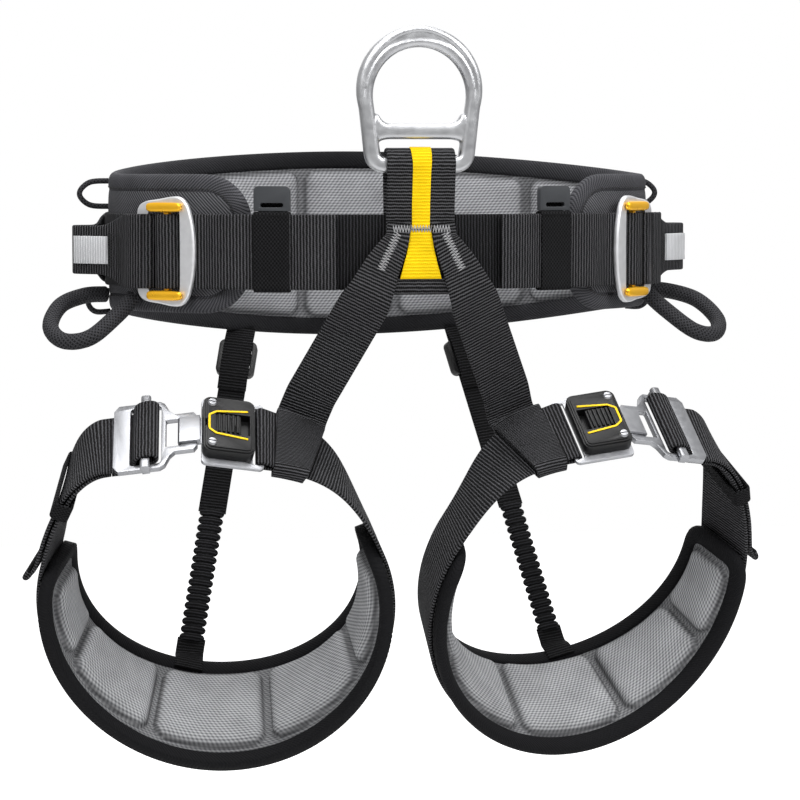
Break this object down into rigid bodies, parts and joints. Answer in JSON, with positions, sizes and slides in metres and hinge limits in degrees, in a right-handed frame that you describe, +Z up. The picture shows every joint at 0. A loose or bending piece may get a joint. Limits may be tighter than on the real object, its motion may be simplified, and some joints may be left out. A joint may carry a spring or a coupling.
{
  "type": "seat harness",
  "caption": "Padded seat harness with a forged ventral ring on webbing, plate-buckled belt, hook-buckled leg loops and elastic rear straps.",
  "frame": {"origin": "middle of the waist opening at the height of the belt's centre line", "axes": "+Z up, -Y to the wearer's front, +X to the wearer's left"},
  "size_m": [0.4644, 0.2415, 0.4569],
  "materials": {
    "foam_mesh": "open mesh over foam",
    "shell_twill": "charcoal twill",
    "leg_twill": "black twill",
    "binding_tape": "folded woven tape",
    "webbing": "woven polyester webbing",
    "forged_aluminium": "satin forged",
    "polished_steel": "satin",
    "gold_anodised": "gold anodised",
    "grey_band": "woven tape",
    "gear_sheath": "braided sheath",
    "elastic": "elastic weave",
    "grey_plastic": "moulded",
    "yellow_webbing": "woven tape",
    "black_plastic": "moulded",
    "spring_steel": "drawn wire",
    "yellow_trim": "moulded line"
  },
  "bodies": {
    "belt": {"belt_foam": "foam_mesh", "belt_shell": "shell_twill", "belt_binding": "binding_tape", "rear_webbing": "webbing", "belly_webbing": "webbing", "belly_tail_left": "webbing", "belly_tail_right": "webbing", "waist_plate_left": "polished_steel", "waist_plate_right": "polished_steel", "lateral_loop_left": "webbing", "lateral_loop_right": "webbing", "lateral_bands": "grey_band", "gear_loop_left": "gear_sheath", "gear_loop_right": "gear_sheath", "tool_loops": "elastic", "keeper_left": "elastic", "keeper_right": "elastic", "keeper_clips": "grey_plastic", "ring_strap": "webbing", "ring_stripe": "yellow_webbing", "riser_left": "webbing", "riser_right": "webbing", "rear_strap_left": "webbing", "rear_strap_right": "webbing", "rear_sleeve_left": "elastic", "rear_sleeve_right": "elastic", "strap_adjusters": "black_plastic"},
    "ring": {"ventral_ring": "forged_aluminium"},
    "waist_slider_left": {"waist_slider_left": "gold_anodised"},
    "leg_left": {"riser_loop_left": "webbing", "leg_foam_left": "foam_mesh", "leg_shell_left": "leg_twill", "leg_binding_left": "binding_tape", "leg_webbing_left": "webbing", "leg_tail_left": "webbing", "leg_keeper_left": "webbing", "hook_base_left": "polished_steel", "buckle_cover_left": "black_plastic", "latch_spring_left": "spring_steel", "buckle_frame_left": "polished_steel", "cover_screws_left": "spring_steel", "cover_trim_left": "yellow_trim"},
    "latch_left": {"latch_left": "black_plastic"},
    "adjuster_left": {"adjuster_bar_left": "polished_steel"},
    "waist_slider_right": {"waist_slider_right": "gold_anodised"},
    "leg_right": {"riser_loop_right": "webbing", "leg_foam_right": "foam_mesh", "leg_shell_right": "leg_twill", "leg_binding_right": "binding_tape", "leg_webbing_right": "webbing", "leg_tail_right": "webbing", "leg_keeper_right": "webbing", "hook_base_right": "polished_steel", "buckle_cover_right": "black_plastic", "latch_spring_right": "spring_steel", "buckle_frame_right": "polished_steel", "cover_screws_right": "spring_steel", "cover_trim_right": "yellow_trim"},
    "latch_right": {"latch_right": "black_plastic"},
    "adjuster_right": {"adjuster_bar_right": "polished_steel"}
  },
  "joints": [
    {"name": "ring_tilt", "type": "hinge", "parent": "belt", "child": "ring", "pos_m": [0, -0.1134, 0.052], "axis": [1, 0, 0], "range_deg": [-20, 110]},
    {"name": "waist_slide_left", "type": "slide", "parent": "belt", "child": "waist_slider_left", "axis": [0.7323, 0.681, 0], "range_m": [0, 0.0025]},
    {"name": "leg_swing_left", "type": "hinge", "parent": "belt", "child": "leg_left", "pos_m": [0.06531, -0.07866, -0.10067], "axis": [-1, 0, 0], "range_deg": [-15, 25], "stiffness_Nm_per_rad": 1.5, "springref_deg": -3.4, "deforming": ["rear_strap_left", "rear_sleeve_left"]},
    {"name": "latch_slide_left", "type": "slide", "parent": "leg_left", "child": "latch_left", "axis": [-0.9901, -0.0387, -0.1348], "range_m": [0, 0.005], "stiffness_N_per_m": 400, "springref_m": -0.002},
    {"name": "adjuster_slide_left", "type": "slide", "parent": "leg_left", "child": "adjuster_left", "axis": [-0.9555, -0.2677, 0.124], "range_m": [0, 0.0025]},
    {"name": "waist_slide_right", "type": "slide", "parent": "belt", "child": "waist_slider_right", "axis": [-0.7323, 0.681, 0], "range_m": [0, 0.0025]},
    {"name": "leg_swing_right", "type": "hinge", "parent": "belt", "child": "leg_right", "pos_m": [-0.06531, -0.07866, -0.10067], "axis": [-1, 0, 0], "range_deg": [-15, 25], "stiffness_Nm_per_rad": 1.5, "springref_deg": -3.4, "deforming": ["rear_strap_right", "rear_sleeve_right"]},
    {"name": "latch_slide_right", "type": "slide", "parent": "leg_right", "child": "latch_right", "axis": [0.9901, -0.0387, -0.1348], "range_m": [0, 0.005], "stiffness_N_per_m": 400, "springref_m": -0.002},
    {"name": "adjuster_slide_right", "type": "slide", "parent": "leg_right", "child": "adjuster_right", "axis": [0.9555, -0.2677, 0.124], "range_m": [0, 0.0025]}
  ]
}
